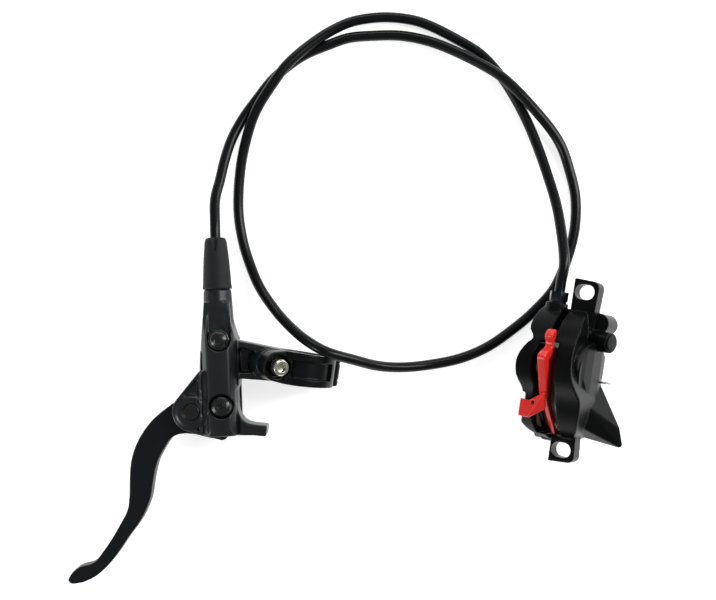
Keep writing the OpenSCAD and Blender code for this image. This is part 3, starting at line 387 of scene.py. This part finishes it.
@dataclass(frozen=True)
class TurnedMetal(Finish):
    """Bare metal with fine rings left by the lathe, round an axis in the row frame."""

    axis_frame: tuple[tuple[float, ...], ...] = ()
    ring_mm: float = 0.35

    def grain(self, tree: bpy.types.NodeTree, place: bpy.types.NodeSocket) -> bpy.types.NodeSocket:
        """Rings round the piece's axis, broken up by a little noise."""
        turn_to = Matrix(self.axis_frame).inverted() if self.axis_frame else Matrix.Identity(4)
        shift, rotation = turn_to.to_translation(), turn_to.to_euler()
        local = add_node(tree, "ShaderNodeMapping", inputs={
            "Vector": place, "Location": shift, "Rotation": rotation,
        }).outputs["Vector"]
        return add_node(tree, "ShaderNodeTexWave", {"wave_type": "RINGS", "rings_direction": "Z"}, {
            "Vector": local, "Scale": 1 / (self.ring_mm * MM * 2 * math.pi), "Distortion": 0.6, "Detail": 2.0,
        }).outputs["Fac"]


@dataclass(frozen=True)
class FrictionCompound(Finish):
    """Pad lining: dark binder with brass and copper chips."""

    chip: str = "#a5763c"

    def paint(self, tree: bpy.types.NodeTree, place: bpy.types.NodeSocket, surface: bpy.types.Node) -> None:
        """Scatters the chips over the binder."""
        super().paint(tree, place, surface)
        chips = add_node(tree, "ShaderNodeTexVoronoi", inputs={
            "Vector": place, "Scale": 1 / (0.45 * MM), "Randomness": 1.0,
        }).outputs["Distance"]
        mask = add_node(tree, "ShaderNodeMath", {"operation": "LESS_THAN"}, {0: chips, 1: 0.22}).outputs[0]
        binder = surface.inputs["Base Color"].links[0].from_socket
        mixed = add_node(tree, "ShaderNodeMix", {"data_type": "RGBA"}, {0: mask, 6: binder, 7: linear(self.chip)})
        tree.links.new(mixed.outputs[2], surface.inputs["Base Color"])


# Powder-coated casting: a satin coat, dark grey with a cool green tint and a fine orange-peel grain
CAST_PAINT = Finish("powder_coated_casting", "#191e20", "#14181a", 0.33, grain_mm=0.9, grain_depth_mm=0.006, specular=0.4)
# Anodised forging: near black, slightly duller than the paint
FORGED_BLACK = Finish("black_anodised_forging", "#0d0e0f", "#090a0a", 0.30, grain_mm=0.6, grain_depth_mm=0.003, specular=0.1)
# Anodised lever blade: satin, with a broad soft highlight
LEVER_BLACK = Finish("satin_anodised_blade", "#12161a", "#0e1215", 0.38, grain_mm=0.5, grain_depth_mm=0.006, specular=0.2)
# Painted clamp strap, glossier than the casting
STRAP_BLACK = Finish("painted_clamp_strap", "#0b0d0f", "#08090b", 0.30, grain_mm=0.7, grain_depth_mm=0.004, specular=0.2)
# Moulded rubber: no gloss, a coarse bloom
MOULDED_RUBBER = Finish("moulded_rubber", "#171b1c", "#121617", 0.62, grain_mm=0.45, grain_depth_mm=0.03, sheen=0.02,
                        specular=0.3)
# Extruded nylon hose: a smooth skin with a clear long highlight
HOSE_SKIN = Finish("extruded_nylon_hose", "#0c0e10", "#090b0d", 0.27, grain_mm=3.0, grain_depth_mm=0.0005, drift_mm=30.0,
                   specular=0.22)
# Injection-moulded plastic spacer, bright red under a thin clear coat; drawn opaque, though the real one is a little
# see-through at its edges
RED_PLASTIC = Finish("moulded_red_plastic", "#f02a22", "#e31f1b", 0.34, grain_mm=1.2, grain_depth_mm=0.006, coat=0.3)
# Black oxide screws: smooth with a low sheen
BLACK_STEEL = Finish("black_oxide_steel", "#0c0e0f", "#08090a", 0.26, ior=1.6, grain_mm=0.5, grain_depth_mm=0.001)
# Zinc-plated steel of the small hidden pieces
PLATED_STEEL = Finish("zinc_plated_steel", "#8d9093", "#7c8083", 0.3, metallic=1.0, grain_mm=0.5, grain_depth_mm=0.006)
# Nickel-plated hose nut, darker than bare steel
DARK_NUT = Finish("dark_plated_nut", "#3a3e41", "#2c3033", 0.30, metallic=1.0, grain_mm=0.6, grain_depth_mm=0.006)
# Bright spring wire
SPRING_WIRE = Finish("bright_spring_wire", "#c4c6c8", "#aeb1b4", 0.22, metallic=1.0, grain_mm=0.4, grain_depth_mm=0.004)
# Stamped steel pad plate
STAMPED_STEEL = Finish("stamped_steel", "#54575a", "#46494c", 0.4, metallic=1.0, grain_mm=0.6, grain_depth_mm=0.01)
# Sintered bronze of bushes and olives
BRONZE = Finish("sintered_bronze", "#b08d4e", "#96763d", 0.35, metallic=1.0, grain_mm=0.4, grain_depth_mm=0.01)
# Turned aluminium piston
TURNED_ALLOY = Finish("turned_aluminium", "#c3c6c8", "#b4b7ba", 0.25, metallic=1.0, grain_mm=0.3, grain_depth_mm=0.006)
# Pale resin of the caliper pistons
PISTON_RESIN = Finish("moulded_piston_resin", "#b5aa98", "#a89d8b", 0.45, grain_mm=0.5, grain_depth_mm=0.01)
# Black ring seals
SEAL_RUBBER = Finish("ring_seal_rubber", "#141516", "#101112", 0.55, grain_mm=0.4, grain_depth_mm=0.01)
# Glass-filled plastic of the reservoir lid
LID_PLASTIC = Finish("glass_filled_plastic", "#1b1e20", "#161819", 0.5, grain_mm=0.5, grain_depth_mm=0.03)
# Friction compound of the pads
LINING = FrictionCompound("friction_compound", "#3d332b", "#2c2520", 0.75, grain_mm=0.35, grain_depth_mm=0.06)

# Stainless socket screw, turned and polished
STAINLESS = TurnedMetal(
    "turned_stainless", "#d8d3c8", "#c5c0b4", 0.2, metallic=1.0, grain_depth_mm=0.001,
    axis_frame=tuple(tuple(row) for row in
                     (CLAMP_FRAME @ turn("Y", -150.0) @ Matrix.Translation(Vector((17, 0, 7.4)) * MM))),
)

NODE_FINISHES: dict[str, Finish] = {
    "master_body": CAST_PAINT, "bleed_screw": BLACK_STEEL, "bleed_seal": SEAL_RUBBER, "port_screw": BLACK_STEEL,
    "port_seal": SEAL_RUBBER, "reservoir_diaphragm": SEAL_RUBBER, "reservoir_lid": LID_PLASTIC,
    "lid_screws": BLACK_STEEL, "clamp_band": STRAP_BLACK, "clamp_hinge_pin": PLATED_STEEL, "clamp_bolt": STAINLESS,
    "lever_blade": LEVER_BLACK, "lever_bushes": BRONZE, "lever_axle": BLACK_STEEL, "axle_circlip": PLATED_STEEL,
    "push_rod": PLATED_STEEL, "master_piston": TURNED_ALLOY, "primary_cup": SEAL_RUBBER,
    "secondary_cup": SEAL_RUBBER, "piston_spring": SPRING_WIRE, "piston_retainer": PLATED_STEEL,
    "hose_cover": MOULDED_RUBBER, "lever_hose_nut": DARK_NUT, "lever_olive": BRONZE, "hose_inserts": PLATED_STEEL,
    "hose": HOSE_SKIN, "caliper_inner_half": FORGED_BLACK, "caliper_outer_half": FORGED_BLACK,
    "body_bolts": BLACK_STEEL, "crossover_seal": SEAL_RUBBER, "inner_pistons": PISTON_RESIN,
    "outer_pistons": PISTON_RESIN, "inner_piston_seals": SEAL_RUBBER, "outer_piston_seals": SEAL_RUBBER,
    "inner_pad_plate": STAMPED_STEEL, "outer_pad_plate": STAMPED_STEEL, "inner_pad_lining": LINING,
    "outer_pad_lining": LINING, "pad_spring": SPRING_WIRE, "pad_pin": PLATED_STEEL, "pad_pin_clip": SPRING_WIRE,
    "caliper_bleed_screw": BLACK_STEEL, "caliper_bleed_cap": MOULDED_RUBBER, "caliper_hose_nut": DARK_NUT,
    "caliper_olive": BRONZE, "pad_spacer": RED_PLASTIC,
}


def finish_nodes() -> None:
    """Gives every CAD node its finish in all its material slots."""
    for name, finish in NODE_FINISHES.items():
        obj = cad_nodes()[name]
        if not obj.material_slots:
            obj.data.materials.append(finish.material())
        for slot in obj.material_slots:
            slot.link = "OBJECT"
            slot.material = finish.material()


# The camera, the light and the table


@dataclass
class Studio:
    """Camera over the table, soft lamps and a pale floor.

    Args:
        camera_at: Place of the camera, straight over the table.
        lens_mm: Focal length on a sensor 36 mm wide.
    """

    camera_at: tuple[float, float, float] = (0.0262, 0.0324, 0.5348)
    lens_mm: float = 56.55

    def camera(self) -> None:
        """Sets the camera as in the photograph."""
        data = bpy.data.cameras.new("view")
        data.lens = self.lens_mm
        data.sensor_width = 36.0
        data.clip_start = 0.01
        camera = bpy.data.objects.new("view", data)
        camera.location = self.camera_at
        bpy.context.scene.collection.objects.link(camera)
        bpy.context.scene.camera = camera

    def lamp(self, name: str, at: tuple[float, float, float], size: tuple[float, float], watts: float) -> None:
        """Adds a soft lamp that looks at the middle of the brake.

        Args:
            name: Name of the lamp.
            at: Its place in metres.
            size: Its width and height.
            watts: Its power.
        """
        data = bpy.data.lights.new(name, "AREA")
        data.shape = "RECTANGLE"
        data.size, data.size_y = size
        data.energy = watts
        lamp = bpy.data.objects.new(name, data)
        lamp.location = at
        lamp.rotation_euler = (Vector((0.03, 0.03, 0.0)) - Vector(at)).to_track_quat("-Z", "Y").to_euler()
        bpy.context.scene.collection.objects.link(lamp)

    def lamps(self) -> None:
        """Two long soft lamps and a low fill."""
        self.lamp("left_lamp", (-0.9, -0.5, 0.35), (0.25, 0.9), 6.0)
        self.lamp("right_lamp", (0.85, 0.3, 0.6), (0.3, 0.9), 8.0)
        self.lamp("top_lamp", (0.1, 1.1, 0.55), (1.2, 0.25), 5.0)

    def world(self) -> None:
        """Plain grey surroundings that give the black finishes only a low sheen."""
        world = bpy.data.worlds.new("studio")
        bpy.context.scene.world = world
        world.use_nodes = True
        tree = world.node_tree
        tree.nodes.clear()
        colour = add_node(tree, "ShaderNodeBackground", inputs={"Color": (1.0, 1.0, 1.0, 1.0), "Strength": 0.24})
        add_node(tree, "ShaderNodeOutputWorld", inputs={"Surface": colour.outputs["Background"]})

    def floor(self) -> None:
        """A pale table top just under the brake that keeps its shadow."""
        bpy.ops.object.select_all(action="DESELECT")
        bpy.ops.mesh.primitive_plane_add(size=6.0, location=(0.0, 0.0, TABLE_Z - 0.02 * MM))
        table = bpy.context.active_object
        table.name = "table_top"
        made = bpy.data.materials.new("white_table")
        made.use_nodes = True
        tree = made.node_tree
        tree.nodes.clear()
        rays = add_node(tree, "ShaderNodeLightPath")
        seen = add_node(tree, "ShaderNodeMath", {"operation": "MAXIMUM"}, {
            0: rays.outputs["Is Camera Ray"], 1: rays.outputs["Is Glossy Ray"],
        }).outputs[0]
        through = add_node(tree, "ShaderNodeMath", {"operation": "MAXIMUM"}, {
            0: seen, 1: rays.outputs["Is Transmission Ray"],
        }).outputs[0]
        glow = add_node(tree, "ShaderNodeMath", {"operation": "MULTIPLY"}, {0: through, 1: 0.72}).outputs[0]
        matt = add_node(tree, "ShaderNodeBsdfDiffuse", inputs={"Color": (0.86, 0.86, 0.86, 1.0)})
        light = add_node(tree, "ShaderNodeEmission", inputs={"Color": (1.0, 1.0, 1.0, 1.0), "Strength": glow})
        both = add_node(tree, "ShaderNodeAddShader", inputs={0: matt.outputs[0], 1: light.outputs[0]})
        add_node(tree, "ShaderNodeOutputMaterial", inputs={"Surface": both.outputs[0]})
        table.data.materials.append(made)

    def build(self) -> None:
        """Builds the whole studio."""
        self.camera()
        self.lamps()
        self.world()
        self.floor()
        bpy.context.scene.view_settings.view_transform = "Standard"


# Hose


@dataclass
class Hose:
    """The free hose between the rubber cover and the caliper's nut.

    Args:
        route: Points along the loops in millimetres, as in the part's source.
        diameter: Outer diameter in metres.
        length: Real length of the free hose in metres; not used.
    """

    route: list[tuple[float, float, float]] = field(default_factory=lambda: [
        (-42, 80, -1.7), (-40, 90, -4.7), (-38, 100, -7.4), (-35, 110, -9.8), (-30, 120, -11.6),
        (-23, 130, -12.6), (-14, 141, -12.7), (-1, 151, -12.7), (13, 157, -12.7), (22, 160, -12.7),
        (33, 161, -12.7), (47, 161, -12.5), (61, 158, -11.6), (75, 152, -9.7), (91, 143, -7.2),
        (100, 136, -7), (109, 127, -8), (119, 116, -10.2), (125, 107, -11.6), (129, 96, -12.5),
        (132, 83, -12.7), (132, 70, -12.7), (130, 59, -12.7), (126, 47, -12.7), (121, 37, -12.7),
        (113, 28, -12.7), (104, 20, -12.7), (90, 10, -12.7), (76, 4, -12.6), (61, 1, -11.2), (48, 0, -7.2),
        (36, 1, -0.6), (24, 4.4, 7.8), (12, 8.2, 13.8), (3, 13, 11), (-5, 19, 3.8), (-13, 27, -3.6),
        (-21, 38, -9), (-26, 49, -11.5), (-30, 62, -12.4), (-32, 77, -12.5), (-31, 95, -11.6),
        (-28, 110, -10.4), (-23, 124, -8.6), (-14, 138, -7.2), (-7, 147, -7.8), (3, 156, -9.7),
        (13, 163, -11.3), (24, 168, -12.3), (38, 170, -12.6), (51, 169, -12.7), (61, 166, -12.7),
        (73, 160, -12.7), (86, 152, -12.7), (96, 141, -12.7), (103, 130, -12.5), (109, 118, -12),
        (114, 105, -10.8), (118, 92, -8.6), (121, 80, -5.4), (122.6, 68, -1.2),
    ])
    diameter: float = 5.0 * MM
    length: float = 0.85

    def exit(self) -> Vector:
        """Point where the hose leaves the rubber cover."""
        return LEVER_FRAME @ Vector((-39.0 * MM, 63.5 * MM, 1.5 * MM))

    def points(self) -> list[Vector]:
        """Centre line from the cover to the nut, smooth through the route's points."""
        start = [self.exit(), LEVER_FRAME @ (Vector((-39.0, 69.5, 1.1)) * MM)]
        end = [CALIPER_FRAME @ (Vector((-12.5, y, -2.0)) * MM) for y in (50.5, 40.5, 33.0)]
        knots = start + [Vector(p) * MM for p in self.route] + end
        line: list[Vector] = []
        for i in range(len(knots) - 1):
            before, here = knots[max(i - 1, 0)], knots[i]
            there, after = knots[i + 1], knots[min(i + 2, len(knots) - 1)]
            for step in range(5):
                t = step / 5
                line.append(0.5 * (2 * here + (there - before) * t + (2 * before - 5 * here + 4 * there - after) * t * t
                                   + (3 * here - before - 3 * there + after) * t * t * t))
        return line + [knots[-1]]

    def build(self) -> None:
        data = bpy.data.curves.new("brake_hose", "CURVE")
        data.dimensions = "3D"
        data.bevel_depth = self.diameter / 2
        data.bevel_resolution = 8
        spline = data.splines.new("POLY")
        line = self.points()
        spline.points.add(len(line) - 1)
        for point, at in zip(spline.points, line):
            point.co = (*at, 1.0)
        spline.use_smooth = True
        hose = bpy.data.objects.new("brake_hose", data)
        bpy.context.scene.collection.objects.link(hose)
        hand_over(hose, HOSE_SKIN, Body.BASE, "hose", "hose")


# Lever and master cylinder


@dataclass
class LeverEnd:
    """Brake lever, master cylinder and handlebar clamp.

    Args:
        casting_voxel: Face size of the casting's skin.
        casting_passes: Smoothing passes of the casting's skin.
        crown: How far the body's top falls away at its sides.
        crown_half: Half the width of that rounded top.
        spring_travel: How far the return spring is pressed at full pull; not used.
        blade_round: Radius of the blade's long edges.
        cover_top: Height of the rubber cover's end along the barrel, in millimetres; not used.
    """

    casting_voxel: float = 0.42 * MM
    casting_passes: int = 12
    crown: float = 1.7 * MM
    crown_half: float = 8.6 * MM
    spring_travel: float = 4.19 * MM
    blade_round: float = 2.6 * MM
    cover_top: float = 63.5

    def casting(self) -> None:
        """Master cylinder casting with rounded edges."""
        body = copy_of_node("master_body", "master_casting")
        self.scoop(body)
        soften(body, self.casting_voxel, self.casting_passes)
        self.crown_top(body)
        hand_over(body, CAST_PAINT, Body.BASE, "cast_body", "master_body")

    def scoop(self, body: bpy.types.Object) -> None:
        """Hollows the body above the bleed screw, where a syringe finds room.

        Args:
            body: The casting.
        """
        bpy.ops.object.select_all(action="DESELECT")
        bpy.ops.mesh.primitive_uv_sphere_add(segments=40, ring_count=20, radius=MM)
        bowl = bpy.context.active_object
        place = LEVER_FRAME @ Matrix.Translation(Vector((-38.4, 20.2, 12.9)) * MM)
        bowl.data.transform(place @ Matrix.Diagonal((6.2, 10.4, 4.4, 1.0)))
        cut(body, bowl)

    def crown_top(self, body: bpy.types.Object) -> None:
        """Rounds the flat top of the body across its length, as the moulded cylinder has it.

        Args:
            body: The casting.
        """
        to_lever = LEVER_FRAME.inverted()
        for vertex in body.data.vertices:
            at = to_lever @ vertex.co
            aside = (at.x - CYLINDER.x) / self.crown_half
            rise = min(max((at.z - 4.0 * MM) / (4.0 * MM), 0.0), 1.0)
            if abs(aside) < 1.0:
                vertex.co.z -= self.crown * aside * aside * rise
        body.data.update()

    def strap(self) -> None:
        """Hinged clamp strap with its pocket."""
        strap = copy_of_node("clamp_band", "clamp_strap")
        soften(strap, 0.26 * MM, 4)
        hand_over(strap, STRAP_BLACK, Body.BASE, "clamp", "clamp_band")

    def blade(self) -> None:
        """Lever blade with well rounded long edges."""
        blade = copy_of_node("lever_blade", "finger_blade")
        select_only(blade)
        bpy.ops.object.mode_set(mode="EDIT")
        bpy.ops.mesh.select_mode(type="EDGE")
        bpy.ops.mesh.select_all(action="DESELECT")
        bpy.ops.object.mode_set(mode="OBJECT")
        pivot = LEVER_FRAME @ PIVOT
        mesh = blade.data
        for edge in mesh.edges:
            a, b = (mesh.vertices[i].co for i in edge.vertices)
            middle = (a + b) / 2
            flat = abs(a.z - b.z) < 0.01 * MM
            edge.select = flat and (middle.xy - pivot.xy).length > 9.5 * MM and middle.x < pivot.x + 4 * MM
        bpy.ops.object.mode_set(mode="EDIT")
        bpy.ops.mesh.bevel(offset=self.blade_round, segments=6, affect="EDGES", clamp_overlap=True)
        bpy.ops.object.mode_set(mode="OBJECT")
        soften(blade, 0.5 * MM, 8)
        hand_over(blade, LEVER_BLACK, Body.LEVER, "lever", "lever_blade")

    def cover(self) -> None:
        """Rubber cover with a rounded top, a lip at the body and a V-shaped groove."""
        axis = LEVER_FRAME @ Matrix.Translation(CYLINDER) @ turn("X", -90.0)
        cover = turned("rubber_cover", [
            (3.4, 39.0), (6.75, 39.0), (6.9, 39.4), (6.9, 40.2), (6.72, 41.2), (6.5, 46.0), (6.2, 51.0), (5.9, 55.0),
            (5.55, 58.6), (5.25, 61.4), (4.95, 62.5), (4.4, 63.2), (3.6, 63.5), (2.55, 63.5), (2.55, 62.0),
            (2.55, 48.5), (4.85, 48.0), (4.85, 42.0), (3.4, 39.0),
        ], axis)
        bpy.ops.object.select_all(action="DESELECT")
        bpy.ops.mesh.primitive_cone_add(vertices=24, radius1=0.5 * MM, radius2=1.9 * MM, depth=7.0 * MM)
        groove = bpy.context.active_object
        groove.data.transform(axis @ Matrix.Translation(Vector((0.0, -5.3, 60.4)) * MM))
        cut(cover, groove)
        soften(cover, 0.25 * MM, 3)
        hand_over(cover, MOULDED_RUBBER, Body.BASE, "rubber_cover", "hose_cover")

    def screws(self) -> None:
        """Domed bleed screw with facets, socket screw of the lower port and the axle's cap."""
        top = LEVER_FRAME @ Matrix.Translation(Vector((-38.2, 15.3, 9.8)) * MM)
        bleed = turned("bleed_dome", [
            (0.0, 0.0), (4.7, 0.0), (5.0, 0.35), (5.0, 1.5), (4.75, 1.75), (4.1, 1.8), (4.1, 2.0), (3.6, 2.5),
            (2.0, 3.25), (1.8, 3.1), (0.0, 3.1),
        ], top, 10)
        chamfer(bleed, 0.1 * MM, 2, 20.0)
        hand_over(bleed, BLACK_STEEL, Body.BASE, "plug_screw", "bleed_screw")
        for node, name, slot, width in (
            ("port_screw", "port_plug", "plug_screw", 0.22), ("clamp_bolt", "clamp_screw", "stainless", 0.25),
            ("lever_axle", "axle_pin", "axle", 0.3),
        ):
            piece = copy_of_node(node, name)
            chamfer(piece, width * MM, 3)
            hand_over(piece, NODE_FINISHES[node], Body.BASE, slot, node)

    def spring(self) -> None:
        """Return spring in the bore."""
        spring = copy_of_node("piston_spring", "return_spring")
        shade(spring, 60.0)
        hand_over(spring, SPRING_WIRE, Body.BASE, "spring", "piston_spring")
        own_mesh(spring)

    def build(self) -> None:
        """Builds the lever end."""
        self.casting()
        self.strap()
        self.blade()
        self.cover()
        self.screws()
        self.spring()


# Caliper


@dataclass
class CaliperEnd:
    """Four-piston caliper with its pads and the transport spacer.

    Args:
        forging_voxel: Face size of the forging's skin.
        forging_passes: Smoothing passes of the forging's skin.
        pin_shortened: How much nearer the pin's end and its ring clip lie than the solids'.
    """

    forging_voxel: float = 0.4 * MM
    forging_passes: int = 7
    pin_shortened: float = 4.6 * MM

    def halves(self) -> None:
        """Both forged halves with rounded edges."""
        for node, name in (("caliper_inner_half", "inner_forging"), ("caliper_outer_half", "outer_forging")):
            half = copy_of_node(node, name)
            soften(half, self.forging_voxel, self.forging_passes)
            hand_over(half, FORGED_BLACK, Body.BASE, "caliper_body", node)

    def spacer(self) -> None:
        """Red spacer with soft moulded edges."""
        spacer = copy_of_node("pad_spacer", "red_spacer")
        soften(spacer, 0.24 * MM, 14)
        hand_over(spacer, RED_PLASTIC, Body.SPACER, "spacer", "pad_spacer")

    def fittings(self) -> None:
        """Hose nut, bleed screw with its cap and body bolts."""
        for node, name, slot, width in (
            ("caliper_hose_nut", "hose_nut", "nut", 0.3), ("caliper_bleed_screw", "bleed_nipple", "nut", 0.2),
            ("caliper_bleed_cap", "bleed_cap", "rubber_cover", 0.25), ("body_bolts", "joining_bolts", "small_black", 0.3),
        ):
            piece = copy_of_node(node, name)
            chamfer(piece, width * MM, 3)
            hand_over(piece, NODE_FINISHES[node], Body.BASE, slot, node)

    def pin(self) -> None:
        """Pad pin with its ring clip close to the outer half."""
        outwards = CALIPER_FRAME.to_3x3() @ Vector((1.0, 0.0, 0.0))
        middle = CALIPER_FRAME @ Vector((2.0 * MM, 0.0, 0.0))
        pin = copy_of_node("pad_pin", "pad_axle")
        for vertex in pin.data.vertices:
            if (vertex.co - middle).dot(outwards) > 0.0:
                vertex.co -= outwards * self.pin_shortened
        chamfer(pin, 0.2 * MM, 3)
        hand_over(pin, PLATED_STEEL, Body.BASE, "rod", "pad_pin")
        clip = copy_of_node("pad_pin_clip", "ring_clip")
        for vertex in clip.data.vertices:
            vertex.co -= outwards * self.pin_shortened
        shade(clip, 60.0)
        hand_over(clip, SPRING_WIRE, Body.BASE, "spring", "pad_pin_clip")

    def build(self) -> None:
        """Builds the caliper end."""
        self.halves()
        self.spacer()
        self.fittings()
        self.pin()


def main() -> None:
    logging.basicConfig(level=logging.INFO, format="%(message)s")
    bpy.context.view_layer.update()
    Studio().build()
    Hose().build()
    finish_nodes()
    LeverEnd().build()
    CaliperEnd().build()


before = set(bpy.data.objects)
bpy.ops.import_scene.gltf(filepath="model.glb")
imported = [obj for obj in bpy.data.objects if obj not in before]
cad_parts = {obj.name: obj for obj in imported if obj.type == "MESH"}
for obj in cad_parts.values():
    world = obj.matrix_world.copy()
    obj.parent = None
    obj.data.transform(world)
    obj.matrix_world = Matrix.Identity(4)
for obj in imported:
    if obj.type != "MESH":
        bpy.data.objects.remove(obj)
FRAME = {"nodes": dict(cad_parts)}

if __name__ == "__main__":
    main()
